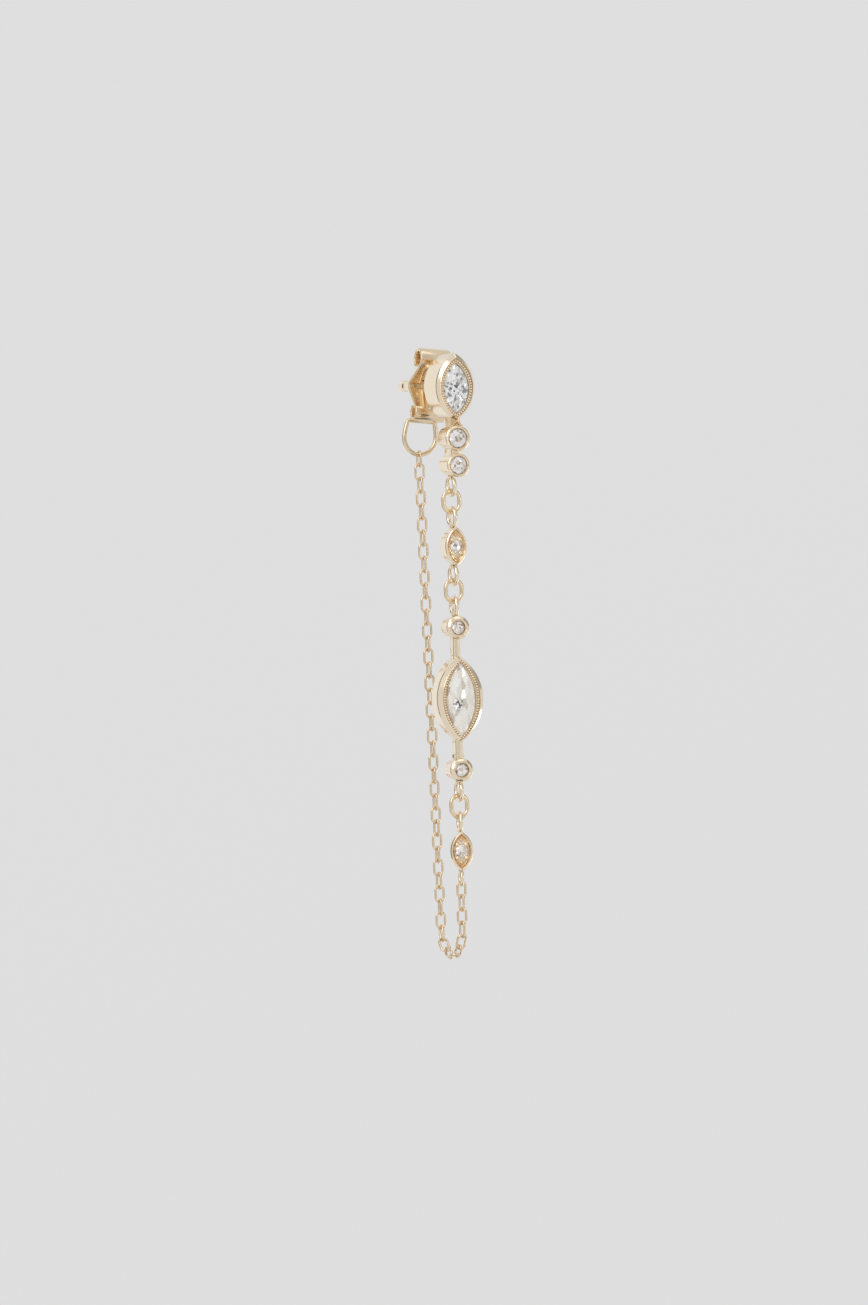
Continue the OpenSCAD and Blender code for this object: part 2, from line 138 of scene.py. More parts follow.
polishedGold = goldFinish("polishedGold", {
    "pale": (0.955, 0.83, 0.65), "warm": (0.94, 0.795, 0.59), "cloudScale": 900, "grainScale": 9000,
    "waveScale": 1400, "waveHigh": 0.004, "grainHigh": 0.0004, "rough": 0.14, "roughSpread": 0.05})
# a darker, warmer gold, painted shade on grains, solder, floors and collets in hollows and notches
recessShadeGold = goldFinish("recessShadeGold", {
    "pale": (0.88, 0.69, 0.45), "warm": (0.76, 0.52, 0.29), "cloudScale": 3000, "grainScale": 12000,
    "waveScale": 4000, "waveHigh": 0.002, "grainHigh": 0.0004, "rough": 0.2, "roughSpread": 0.06})
# the darkest gold, painted shade on the floors of the bead grooves
grooveShadeGold = goldFinish("grooveShadeGold", {
    "pale": (0.78, 0.6, 0.4), "warm": (0.3, 0.19, 0.1), "cloudScale": 900, "grainScale": 12000,
    "waveScale": 4000, "waveHigh": 0.003, "grainHigh": 0.0005, "rough": 0.3, "roughSpread": 0.05})
# a slightly darker gold with a wider spread, painted shade on the friction back and the jump links
shadedGold = goldFinish("shadedGold", {
    "pale": (0.94, 0.8, 0.59), "warm": (0.8, 0.62, 0.41), "cloudScale": 800, "grainScale": 9000,
    "waveScale": 1500, "waveHigh": 0.004, "grainHigh": 0.0005, "rough": 0.17, "roughSpread": 0.05})
chainGold = goldFinish("chainGold", {
    "pale": (0.97, 0.85, 0.65), "warm": (0.72, 0.51, 0.31), "cloudScale": 2600, "grainScale": 9000,
    "waveScale": 2400, "waveHigh": 0.004, "grainHigh": 0.0004, "rough": 0.16, "roughSpread": 0.05})


# cut facets: each cell has its own painted grey, which stands for the reflections in the stone, and its own
# lean, so that some of them flash
def paintedFacetFinish(name, look):
    material, tree = nodeTree(name)
    where = addNode(tree, "ShaderNodeTexCoord").outputs["Object"]
    long = addNode(tree, "ShaderNodeVectorMath", {0: where, 1: look["stretch"]}, operation="MULTIPLY")
    cells = addNode(tree, "ShaderNodeTexVoronoi", {"Vector": long.outputs[0], "Scale": look["cellScale"]})
    parts = addNode(tree, "ShaderNodeSeparateColor", {"Color": cells.outputs["Color"]})
    ramp = addNode(tree, "ShaderNodeValToRGB", {"Fac": parts.outputs["Red"]})
    ramp.color_ramp.interpolation = "CONSTANT"
    stops = ramp.color_ramp.elements
    while len(stops) < len(look["reflectionGreys"]):
        stops.new(0.5)
    for stop, (start, reflectionTone) in zip(stops, look["reflectionGreys"]):
        stop.position = start
        stop.color = (*reflectionTone, 1)
    # the painted shade of the darker heart, where the pavilion's point shows through the table
    heart = [c * mm for c in look["heart"]]
    wide = look["heartWide"] * mm
    away = addNode(tree, "ShaderNodeVectorMath", {0: where, 1: heart}, operation="DISTANCE")
    near = addNode(tree, "ShaderNodeMapRange", {
        "Value": away.outputs["Value"], "From Min": wide, "From Max": 0.3 * wide,
        "To Min": 0.0, "To Max": 1.0})
    chips = addNode(tree, "ShaderNodeTexVoronoi", {"Vector": where, "Scale": look["heartScale"]})
    chip = addNode(tree, "ShaderNodeSeparateColor", {"Color": chips.outputs["Color"]})
    picked = addNode(
        tree, "ShaderNodeMath", {0: chip.outputs["Green"], 1: look["heartShare"]}, operation="LESS_THAN")
    amount = addNode(
        tree, "ShaderNodeMath", {0: near.outputs["Result"], 1: picked.outputs[0]}, operation="MULTIPLY")
    reflectionTone = mixColours(tree, amount.outputs[0], ramp.outputs["Color"], look["heartShadeGrey"])
    spread = addNode(
        tree, "ShaderNodeVectorMath", {0: cells.outputs["Color"], 1: (0.5, 0.5, 0.5)}, operation="SUBTRACT")
    lean = addNode(
        tree, "ShaderNodeVectorMath", {0: spread.outputs[0], "Scale": look["tilt"]}, operation="SCALE")
    face = addNode(tree, "ShaderNodeNewGeometry").outputs["Normal"]
    leant = addNode(tree, "ShaderNodeVectorMath", {0: face, 1: lean.outputs[0]}, operation="ADD")
    normal = addNode(tree, "ShaderNodeVectorMath", {0: leant.outputs[0]}, operation="NORMALIZE")
    shader = addNode(tree, "ShaderNodeBsdfPrincipled", {
        "Base Color": reflectionTone, "Roughness": look["rough"], "Metallic": look["mirror"], "IOR": 2.0,
        "Normal": normal.outputs[0]})
    addNode(tree, "ShaderNodeOutputMaterial", {"Surface": shader.outputs["BSDF"]})
    return material


# each stone's greys are painted reflections, and the cream and rosy tints are painted reflections of the
# gold
whiteReflectionFacets = paintedFacetFinish("whiteReflectionFacets", {
    "cellScale": 6200, "stretch": (1.0, 0.6, 0.66), "rough": 0.08, "tilt": 0.62, "mirror": 0.34,
    "heart": (-0.34, -3.0, -0.2), "heartWide": 1.05, "heartShare": 0.33, "heartScale": 6500,
    "heartShadeGrey": (0.12, 0.12, 0.13), "reflectionGreys": (
        (0.0, (0.32, 0.32, 0.32)), (0.1, (0.68, 0.67, 0.66)),
        (0.26, (0.92, 0.91, 0.9)), (0.44, (1.0, 1.0, 1.0)))})
creamReflectionFacets = paintedFacetFinish("creamReflectionFacets", {
    "cellScale": 3300, "stretch": (1.0, 0.5, 0.36), "rough": 0.12, "tilt": 0.46, "mirror": 0.1,
    "heart": (-0.42, -2.72, -23.66), "heartWide": 0.6, "heartShare": 0.42, "heartScale": 8000,
    "heartShadeGrey": (0.06, 0.06, 0.07), "reflectionGreys": (
        (0.0, (0.7, 0.64, 0.56)), (0.14, (0.88, 0.83, 0.74)),
        (0.4, (0.97, 0.93, 0.86)), (0.66, (1.0, 0.98, 0.94)))})
rosyReflectionFacets = paintedFacetFinish("rosyReflectionFacets", {
    "cellScale": 5200, "stretch": (1.0, 1.0, 1.0), "rough": 0.12, "tilt": 0.5, "mirror": 0.25,
    "heart": (0.08, -2.9, -3.84), "heartWide": 0.4, "heartShare": 0.4, "heartScale": 9000,
    "heartShadeGrey": (0.25, 0.2, 0.17), "reflectionGreys": (
        (0.0, (0.42, 0.33, 0.27)), (0.16, (0.74, 0.65, 0.58)),
        (0.4, (0.93, 0.87, 0.83)), (0.66, (1.0, 0.99, 0.98)))})
print("finishes mixed")


# mesh helpers: a heap gathers the shells of one piece, in millimetres
def newHeap():
    return {"corners": [], "faces": [], "finish": []}


def addShell(heap, corners, faces, finish=0):
    first = len(heap["corners"])
    heap["corners"].extend(Vector(c) for c in corners)
    heap["faces"].extend([first + i for i in face] for face in faces)
    heap["finish"].extend([finish] * len(faces))


def moveCorners(heap, start, turn):
    for i in range(start, len(heap["corners"])):
        heap["corners"][i] = turn @ heap["corners"][i]


# turns every face's normal outward
def outward(mesh):
    work = bmesh.new()
    work.from_mesh(mesh)
    bmesh.ops.recalc_face_normals(work, faces=work.faces)
    work.to_mesh(mesh)
    work.free()


# an object of a heap, which isn't a piece of the earring yet
def looseObject(name, heap):
    mesh = bpy.data.meshes.new(name)
    mesh.from_pydata([c * mm for c in heap["corners"]], [], heap["faces"])
    loose = bpy.data.objects.new(name, mesh)
    bpy.context.scene.collection.objects.link(loose)
    return loose


# a piece of the earring: it rides on the root and stands in for one node of the frame;
# a heap's finish numbers count through the finishes, in gold 0 polished, 1 the darker gold with
# painted shade for grains and hollows, 2 the darkest gold with painted shade for groove floors
def makePiece(name, heap, finishes, node, smooth=40):
    piece = looseObject(name, heap)
    mesh = piece.data
    for finish in finishes:
        mesh.materials.append(finish)
    for face, finish in zip(mesh.polygons, heap["finish"]):
        face.material_index = finish
    mesh.validate()
    outward(mesh)
    if smooth:
        mesh.shade_smooth()
        mesh.set_sharp_from_angle(angle=math.radians(smooth))
    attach(piece, "root")
    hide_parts(node)


# the faces between rings of count corners each
def ringFaces(rings, count, closed=False, flip=False):
    faces = []
    for k in range(rings if closed else rings - 1):
        a, b = k * count, ((k + 1) % rings) * count
        for i in range(count):
            j = (i + 1) % count
            face = [a + i, a + j, b + j, b + i]
            faces.append(face[::-1] if flip else face)
    return faces


# outline as (x, z): a circle where length and width are the same, and else two arcs that
# meet in tips rounded to the radius tip
def outline(length, width, tip, side=36, fan=5):
    count = 2 * (side + fan)
    if length == width:
        r = width / 2
        angles = [2 * math.pi * i / count for i in range(count)]
        return [(r * math.cos(a), r * math.sin(a)) for a in angles]
    bow = (length ** 2 + width ** 2) / (4 * width)
    mid = bow - width / 2
    inner = bow - tip
    opening = math.acos(mid / inner)
    high = inner * math.sin(opening)
    half = []
    for i in range(side):
        a = -opening + 2 * opening * i / (side - 1)
        half.append((-mid + bow * math.cos(a), bow * math.sin(a)))
    for i in range(fan):
        a = opening + (math.pi - 2 * opening) * (i + 1) / (fan + 1)
        half.append((tip * math.cos(a), high + tip * math.sin(a)))
    return half + [(-x, -z) for x, z in half]


# rounds the corners of an open profile of (inset, depth, softness), with one more ring on
# each side of a corner to keep the flats beside it flat
def softProfile(corners, steps=3):
    soft = [corners[0][:2]]
    for k in range(1, len(corners) - 1):
        here = Vector(corners[k][:2])
        before = Vector(corners[k - 1][:2]) - here
        after = Vector(corners[k + 1][:2]) - here
        reach = min(corners[k][2], 0.42 * before.length, 0.42 * after.length)
        start = here + before.normalized() * reach
        end = here + after.normalized() * reach
        soft.append(tuple(here + before.normalized() * min(1.7 * reach, 0.49 * before.length)))
        for s in range(steps + 1):
            t = s / steps
            soft.append(tuple((1 - t) ** 2 * start + 2 * t * (1 - t) * here + t * t * end))
        soft.append(tuple(here + after.normalized() * min(1.7 * reach, 0.49 * after.length)))
    soft.append(corners[-1][:2])
    return soft


# tipShare is the inset at the tips for each millimetre of inset at the middle, drop lowers the
# opening, and shadeSpan is the span of insets that has a darker finish of its own, painted shade
def loftBezel(
        heap, length, width, profile, front, closedBack, tipShare=1.0, drop=0.0,
        tipOuter=0.1, tipInner=0.03, shadeSpan=None, shadeFinish=2):
    rings = []
    deepest = max(p[0] for p in profile)
    for inset, depth in profile:
        tip = tipOuter + (tipInner - tipOuter) * min(1, max(0, inset / deepest))
        ends = inset if length == width else inset * tipShare
        low = drop * min(1, inset / deepest)
        ring = outline(length - 2 * ends, width - 2 * inset, tip)
        rings.extend((x, front + depth, z - low) for x, z in ring)
    count = len(rings) // len(profile)
    faces = ringFaces(len(profile), count, closed=not closedBack)
    if closedBack:
        faces.append(list(range(count))[::-1])
        faces.append([(len(profile) - 1) * count + i for i in range(count)])
    addShell(heap, rings, faces)
    # the floor of the bead groove gets a darker finish, painted shade in the groove
    if shadeSpan:
        first = len(heap["finish"]) - len(faces)
        for k in range(len(profile) - 1):
            near, far = sorted((profile[k][0], profile[k + 1][0]))
            if near >= shadeSpan[0] and far <= shadeSpan[1]:
                heap["finish"][first + k * count:first + (k + 1) * count] = [shadeFinish] * count


# how a bezel holds its stone: the lip's depth as a share of the rim, how far behind the lip
# the stone's girdle lies, how far the lip laps over the stone, and the depth of the seat
hold = {"lipShare": 0.3, "behind": 0.08, "lap": 0.07, "seatDeep": 0.21}


# outer wall, bevel, groove, bright cut slope, lip, seat and shaft
def bezelProfile(rim, deep, narrow, plate, bevelWide, bevelDeep, edge, grooveDeep=0.08):
    lip = hold["lipShare"] * rim
    seat = lip + hold["seatDeep"]
    pocket = rim - 0.1
    shaft = rim - 0.01
    return softProfile([
        (narrow + 0.05, deep, 0), (narrow, deep - 0.04, 0.03), (0, bevelDeep, edge),
        (bevelWide, 0, 0.05), (bevelWide + 0.03, grooveDeep, 0.01), (rim - 0.09, grooveDeep + 0.02, 0.01),
        (rim - 0.05, 0.04, 0.01), (rim, lip, 0.015), (rim - 0.03, lip + 0.02, 0.01),
        (pocket, lip + 0.03, 0.01), (pocket, seat, 0.01), (shaft, seat, 0.01),
        (shaft, deep - plate, 0)])


# a ball of radius 1 as corners and faces, which every bead is scaled from
def unitBall(rows=7, around=10):
    corners = [(0, 0, 1)]
    for r in range(1, rows):
        a = math.pi * r / rows
        for k in range(around):
            t = 2 * math.pi * k / around
            corners.append((math.sin(a) * math.cos(t), math.sin(a) * math.sin(t), math.cos(a)))
    corners.append((0, 0, -1))
    faces = [[0, 1 + k, 1 + (k + 1) % around] for k in range(around)]
    for r in range(rows - 2):
        a, b = 1 + r * around, 1 + (r + 1) * around
        for k in range(around):
            n = (k + 1) % around
            faces.append([a + k, b + k, b + n, a + n])
    last = len(corners) - 1
    a = 1 + (rows - 2) * around
    faces += [[last, a + (k + 1) % around, a + k] for k in range(around)]
    return corners, faces


ball = unitBall()


def addBead(heap, middle, size, finish=0):
    corners = [Vector(middle) + Vector([c[k] * size[k] for k in range(3)]) for c in ball[0]]
    addShell(heap, corners, ball[1], finish)


# a row of milgrain inside a marquise rim, each grain longer across the rim than along it
def addMilgrain(heap, bezel, front, rng):
    inset, grain = bezel["grainAt"], bezel["grain"]
    long, wide = bezel["length"] - 2 * inset * bezel["tipShare"], bezel["width"] - 2 * inset
    path = outline(long, wide, 0.04, side=120, fan=3)
    path.append(path[0])
    runs = [math.dist(path[i], path[i + 1]) for i in range(len(path) - 1)]
    count = round(sum(runs) / bezel["pitch"])
    step = sum(runs) / count
    gone, i = 0.0, 0
    for n in range(count):
        want = n * step
        while gone + runs[i] < want:
            gone += runs[i]
            i += 1
        t = (want - gone) / runs[i]
        x = path[i][0] + t * (path[i + 1][0] - path[i][0])
        z = path[i][1] + t * (path[i + 1][1] - path[i][1])
        lean = math.atan2(path[i + 1][1] - path[i][1], path[i + 1][0] - path[i][0])
        big = rng.uniform(0.9, 1.06)
        start = len(heap["corners"])
        addBead(heap, (0, 0, 0), (grain[0] * big, grain[2], grain[1] * big))
        shift = Matrix.Translation((x, front + bezel["grainDeep"] + rng.uniform(-0.006, 0.008), z))
        moveCorners(heap, start, shift @ Matrix.Rotation(-lean, 4, "Y"))


# a closed wire along a path that lies in one plane, which is given by its normal
def addWire(heap, path, radius, plane, sides=14):
    count = len(path)
    corners = []
    plane = Vector(plane).normalized()
    for i in range(count):
        before, after = Vector(path[i - 1]), Vector(path[(i + 1) % count])
        out = (after - before).normalized().cross(plane)
        for k in range(sides):
            t = 2 * math.pi * k / sides
            corners.append(Vector(path[i]) + radius * (math.cos(t) * out + math.sin(t) * plane))
    addShell(heap, corners, ringFaces(count, sides, closed=True))


# a link's middle line as (along, across)
def ovalPath(length, width, steps):
    r = width / 2
    half = length / 2 - r
    points = []
    for i in range(steps):
        a = -math.pi / 2 + math.pi * i / (steps - 1)
        points.append((half + r * math.cos(a), r * math.sin(a)))
    return points + [(-u, -v) for u, v in points]


# a soldered loop in the plane of the strand
def addLoop(heap, top, outer, wire, steps=48):
    r = (outer - wire) / 2
    middle = top - outer / 2
    angles = [2 * math.pi * i / steps for i in range(steps)]
    path = [(0, r * math.cos(a), middle + r * math.sin(a)) for a in angles]
    addWire(heap, path, wire / 2, (1, 0, 0))


# a rectangle with rounded corners, each drawn in some steps
def softSection(width, deep, soft, steps):
    section = []
    for cx, cy, a0 in ((1, 1, 0), (-1, 1, 90), (-1, -1, 180), (1, -1, 270)):
        for s in range(steps + 1):
            a = math.radians(a0 + 90 / steps * s)
            section.append((
                cx * (width / 2 - soft) + soft * math.cos(a), cy * (deep / 2 - soft) + soft * math.sin(a)))
    return section


# a bar with softened edges, from one height to another
def addBar(heap, width, deep, low, high, y=0.0, soft=0.1, finish=0):
    section = softSection(width, deep, soft, 4)
    corners = [(u, y + v, z) for z in (low, high) for u, v in section]
    count = len(section)
    faces = ringFaces(2, count) + [list(range(count))[::-1], [count + i for i in range(count)]]
    addShell(heap, corners, faces, finish)


# a turned shape about a line along one axis: profile of (place along, radius)
def addTurned(heap, profile, axis, middle, sides=32, finish=0):
    corners = []
    for along, r in profile:
        for k in range(sides):
            c, s = r * math.cos(2 * math.pi * k / sides), r * math.sin(2 * math.pi * k / sides)
            offset = (c, along, s) if axis == "y" else (c, s, along)
            corners.append(Vector(middle) + Vector(offset))
    faces = ringFaces(len(profile), sides, flip=axis == "y")
    caps = [list(range(sides))[::-1], [(len(profile) - 1) * sides + k for k in range(sides)]]
    faces += [c[::-1] for c in caps] if axis == "y" else caps
    addShell(heap, corners, faces, finish)


# cut stones: sizes as shares of the width, but for the girdle
cut = {"table": 0.56, "starAt": 0.82, "halfAt": 0.26, "crown": 0.12, "pavilion": 0.42, "girdle": 0.05}


# a brilliant where length and width are the same, and else a marquise with the same facets
def stoneShell(length, width, front):
    def spot(step, part, y):
        k = step % 16
        if length == width:
            a = math.radians(22.5 * k)
            return (part * length / 2 * math.sin(a), y, part * length / 2 * math.cos(a))
        side = -1 if k > 8 else 1
        bow = (length ** 2 + width ** 2) / (4 * width)
        a = math.asin(length / 2 / bow) * (1 - (16 - k if k > 8 else k) / 4)
        return (side * part * (bow * math.cos(a) - bow + width / 2), y, part * bow * math.sin(a))

    crown, pavilion, girdle = cut["crown"] * width, cut["pavilion"] * width, cut["girdle"]
    fold = math.cos(math.radians(22.5))
    starUp = crown * (1 - (cut["starAt"] * fold - cut["table"]) / (1 - cut["table"]))
    halfDown = pavilion * (1 - cut["halfAt"] * fold)
    corners = [spot(2 * i, cut["table"], front - crown) for i in range(8)]
    corners += [spot(2 * i + 1, cut["starAt"], front - starUp) for i in range(8)]
    corners += [spot(j, 1, front) for j in range(16)]
    corners += [spot(j, 1, front + girdle) for j in range(16)]
    corners += [spot(2 * i + 1, cut["halfAt"], front + girdle + halfDown) for i in range(8)]
    corners.append((0, front + girdle + pavilion, 0))

    # table, star corners, girdle above and below, and the corners halfway down the pavilion
    def t(i): return i % 8
    def m(i): return 8 + i % 8
    def g(j): return 16 + j % 16
    def b(j): return 32 + j % 16
    def n(i): return 48 + i % 8

    faces = [[t(i) for i in range(8)]]
    for i in range(8):
        faces += [
            [t(i), m(i), t(i + 1)], [t(i), m(i - 1), g(2 * i)], [t(i), g(2 * i), m(i)],
            [m(i), g(2 * i), g(2 * i + 1)], [m(i), g(2 * i + 1), g(2 * i + 2)],
            [n(i), b(2 * i + 1), b(2 * i)], [n(i), b(2 * i + 2), b(2 * i + 1)],
            [56, n(i), b(2 * i)], [56, b(2 * i), n(i - 1)]]
    faces += [[g(j), b(j), b(j + 1), g(j + 1)] for j in range(16)]
    return corners, [face[::-1] for face in faces]


def addStone(heap, length, width, front):
    corners, faces = stoneShell(length, width, front)
    addShell(heap, corners, faces)


# the stone behind an opening, which the lip laps over all round
def cutStone(name, node, openLong, openWide, rim, front, place=Matrix.Identity(4), facets=rosyReflectionFacets):
    lap = hold["lap"]
    wide = openWide + 2 * lap
    long = wide
    if openLong != openWide:
        bow = (openLong ** 2 + openWide ** 2) / (4 * openWide)
        long = 2 * math.sqrt((bow + lap) ** 2 - (bow - openWide / 2) ** 2)
    heap = newHeap()
    addStone(heap, long, wide, front + hold["lipShare"] * rim + hold["behind"])
    moveCorners(heap, 0, place)
    makePiece(name, heap, [facets], node, smooth=0)


# the stud: marquise bezel, two round bezels, loop and ear post
stud = {
    "length": 5.1, "width": 3.1, "deep": 3.1, "rim": 0.54, "tipShare": 1.26, "drop": 0.12, "slim": 0.12,
    "plate": 0.6, "front": -3.1, "bevelWide": 0.25, "bevelDeep": 0.38, "edge": 0.07,
    "grain": (0.085, 0.095, 0.09), "grainAt": 0.375, "grainDeep": 0.095, "grainDrop": 0.7,
    "pitch": 0.2,
    # across and height of each round bezel; its rim is a share of its radius
    "rounds": ((1.95, -3.84), (1.8, -5.84)), "roundDeep": 2.1, "roundRim": 0.28,
    "strand": -1.4, "loopTop": -6.54, "loop": 1.73, "wire": 0.32, "loopSolder": (0.27, 0.42, 0.1),
    "post": 0.85,
    # solder between the bezels: width, depth, low end, high end, y, softness and finish; the upper one's
    # darker finish is painted shade in the neck
    "solder": ((0.66, 1.5, -3.1, -2.3, -2.05, 0.12, 1), (0.8, 1.5, -5.14, -4.6, -1.95, 0.12, 0)),
    # the post along its length: place and what its radius there differs by
    "postProfile": (
        (-0.2, 0.25), (0.0, 0.25), (0.06, 0.14), (0.14, 0.05), (0.26, 0), (0.34, 0), (6.36, 0), (6.4, 0),
        (6.5, -0.05), (6.75, -0.05), (6.85, 0), (6.89, 0), (7.58, 0), (7.62, 0), (7.76, -0.05),
        (7.86, -0.14), (7.9, -0.24)),
    # x, height and radius of each grain in the notch under the marquise; their darker gold is painted shade
    # in the notch
    "notchGrains": (
        (-0.01, -2.58, 0.085), (-0.13, -2.68, 0.085), (0.11, -2.68, 0.085), (-0.25, -2.79, 0.09),
        (-0.01, -2.79, 0.085), (0.22, -2.79, 0.09), (-0.37, -2.9, 0.09), (0.35, -2.9, 0.09),
        (-0.13, -2.89, 0.08), (0.11, -2.89, 0.08)),
    "notchFront": -2.9,
}


# a round bezel in the strand, d across, with its middle at the height z
def addRoundBezel(heap, d, rim, deep, slim, front, z):
    start = len(heap["corners"])
    profile = bezelProfile(rim, deep, slim, 0, rim - 0.17, 0.4 * rim, 0.1, 0.06)
    loftBezel(heap, d, d, profile, front, False, shadeSpan=(rim - 0.06, rim + 0.001))
    moveCorners(heap, start, Matrix.Translation((0, 0, z)))


def buildStud():
    rng = random.Random(11)
    heap = newHeap()
    p, front = stud, stud["front"]
    profile = bezelProfile(
        p["rim"], p["deep"], p["slim"], p["plate"], p["bevelWide"], p["bevelDeep"], p["edge"])
    span = (p["bevelWide"] + 0.01, p["rim"] - 0.06)
    loftBezel(heap, p["length"], p["width"], profile, front, True, p["tipShare"], p["drop"], shadeSpan=span)
    start = len(heap["corners"])
    addMilgrain(heap, p, front, rng)
    moveCorners(heap, start, Matrix.Translation((0, 0, -p["grainDrop"] * p["drop"])))
    for d, z in p["rounds"]:
        addRoundBezel(heap, d, p["roundRim"] * d / 2, p["roundDeep"], p["slim"], front, z)
    # the upper solder and the notch grains take the darker gold, painted shade
    for wide, deep, low, high, y, soft, finish in p["solder"]:
        addBar(heap, wide, deep, low, high, y, soft, finish)
    for x, z, r in p["notchGrains"]:
        addBead(heap, (x, p["notchFront"], z), (r, r, r), 1)
    start = len(heap["corners"])
    addLoop(heap, p["loopTop"], p["loop"], p["wire"])
    moveCorners(heap, start, Matrix.Translation((0, p["strand"], 0)))
    addBead(heap, (0, p["strand"], p["loopTop"] - 0.12), p["loopSolder"])
    half = p["post"] / 2
    addTurned(heap, [(along, half + more) for along, more in p["postProfile"]], "y", (0, 0, 0))
    makePiece("studSetting", heap, [polishedGold, recessShadeGold, grooveShadeGold], "stud_setting")
    long = p["length"] - 2 * p["tipShare"] * p["rim"]
    low = Matrix.Translation((0, 0, -p["drop"]))
    wide = p["width"] - 2 * p["rim"]
    cutStone("studMarquiseStone", "stud_marquise_stone", long, wide, p["rim"], front, low, whiteReflectionFacets)
    for i, (d, z) in enumerate(p["rounds"]):
        rim = p["roundRim"] * d / 2
        wide = d - 2 * rim
        lift = Matrix.Translation((0, 0, z))
        cutStone(f"studRoundStone{i + 1}", f"stud_round_stone_{i + 1}", wide, wide, rim, front, lift)


buildStud()
print("stud built")


# friction back: a strip curled into two scrolls, with a D ring below
butterfly = {
    "at": 3.6, "turn": 6, "wide": 2.45, "thick": 0.26, "upper": (2.15, 2.0), "upRadius": 0.69,
    "lower": (2.3, -2.0), "lowRadius": 0.52, "sweep": 280, "armStart": 0.2, "step": 0.07,
    "hole": 0.9, "drill": (3.0, 4.2), "edge": 0.07,
    # the D ring; topIn is what each leg leans in by at the bar
    "ringWide": 2.88, "ringDrop": 2.52, "ringWire": 0.34, "side": -0.34, "bar": (2.7, -2.636),
    "corner": 0.3, "topIn": 0.13, "solderAt": (-0.7, 0.1, 0.8), "solder": (0.42, 0.17, 0.14),
}


# the strip's middle line as (y, z): scroll, arm, flat with the post hole, arm, scroll
def stripPath():
    def touchAngle(middle, r, up):
        start = Vector((butterfly["at"], up * butterfly["armStart"]))
        away = start - Vector(middle)
        return math.atan2(away.y, away.x) - up * math.acos(r / away.length)

    def onScroll(middle, r, a):
        return (middle[0] + r * math.cos(a), middle[1] + r * math.sin(a))

    sweep = math.radians(butterfly["sweep"])
    upper, upR, lower, lowR = (butterfly[key] for key in ("upper", "upRadius", "lower", "lowRadius"))
    upTouch = touchAngle(upper, upR, 1)
    lowTouch = touchAngle(lower, lowR, -1)
    points = [onScroll(upper, upR, upTouch - sweep + sweep * i / 44) for i in range(45)]
    corner = [(butterfly["at"], butterfly["armStart"]), (butterfly["at"], -butterfly["armStart"])]
    lowStart = onScroll(lower, lowR, lowTouch)
    for a, b in ((points[-1], corner[0]), (corner[0], corner[1]), (corner[1], lowStart)):
        steps = max(2, int(math.dist(a, b) / butterfly["step"]))
        for i in range(1, steps + 1):
            points.append((a[0] + (b[0] - a[0]) * i / steps, a[1] + (b[1] - a[1]) * i / steps))
    points += [onScroll(lower, lowR, lowTouch + sweep * i / 44) for i in range(1, 45)]
    # eases the bends beside the post hole
    eased = [
        tuple((points[i - 1][k] + 2 * points[i][k] + points[i + 1][k]) / 4 for k in (0, 1))
        for i in range(1, len(points) - 1)]
    return [points[0]] + eased + [points[-1]]


def addStrip(heap):
    path = stripPath()
    section = softSection(butterfly["wide"], butterfly["thick"], butterfly["edge"], 3)
    corners = []
    for i, (y, z) in enumerate(path):
        before, after = path[max(0, i - 1)], path[min(len(path) - 1, i + 1)]
        along = Vector((after[0] - before[0], after[1] - before[1])).normalized()
        out = Vector((along.y, -along.x))
        for u, v in section:
            corners.append((u, y + out.x * v, z + out.y * v))
    count = len(section)
    faces = ringFaces(len(path), count)
    faces += [list(range(count))[::-1], [(len(path) - 1) * count + i for i in range(count)]]
    addShell(heap, corners, faces)


# the strip with the post hole drilled through it
def drilledStrip():
    whole, bit = newHeap(), newHeap()
    addStrip(whole)
    hole = [(along, butterfly["hole"] / 2) for along in butterfly["drill"]]
    addTurned(bit, hole, "y", (0, 0, 0), sides=40)
    strip, drill = looseObject("strip", whole), looseObject("drill", bit)
    outward(strip.data)
    outward(drill.data)
    cutHole = strip.modifiers.new("postHole", "BOOLEAN")
    cutHole.operation = "DIFFERENCE"
    cutHole.solver = "EXACT"
    cutHole.object = drill
    bpy.context.view_layer.update()
    ready = bpy.data.meshes.new_from_object(strip.evaluated_get(bpy.context.evaluated_depsgraph_get()))
    for old in (strip, drill):
        bpy.data.objects.remove(old)
    heap = newHeap()
    addShell(heap, [v.co / mm for v in ready.vertices], [list(p.vertices) for p in ready.polygons])
    return heap


# the D ring as (x, z) from the middle of its bar: straight bar, two legs and a half round,
# one closed wire with soft corners
def ringPath():
    bend = (butterfly["ringWide"] - butterfly["ringWire"]) / 2
    leg = butterfly["ringDrop"] - bend
    soft = butterfly["corner"]
    top = bend - butterfly["topIn"]

    def swell(t):
        return top + butterfly["topIn"] * math.sin(math.pi / 2 * t)

    quarter = [math.radians(15 * i) for i in range(1, 7)]
    half = [math.radians(6 * i) for i in range(31)]
    flat = [((top - soft) * (i / 8 - 1), 0) for i in range(17)]
    flat += [(top - soft + soft * math.sin(a), -soft + soft * math.cos(a)) for a in quarter]
    flat += [(swell(i / 8), -soft - (leg - soft) * i / 8) for i in range(1, 8)]
    flat += [(bend * math.cos(a), -leg - bend * math.sin(a)) for a in half]
    flat += [(-swell(1 - i / 8), -leg + (leg - soft) * i / 8) for i in range(1, 8)]
    flat += [(-top + soft - soft * math.cos(a), -soft + soft * math.sin(a)) for a in [0.0] + quarter[:-1]]
    return flat


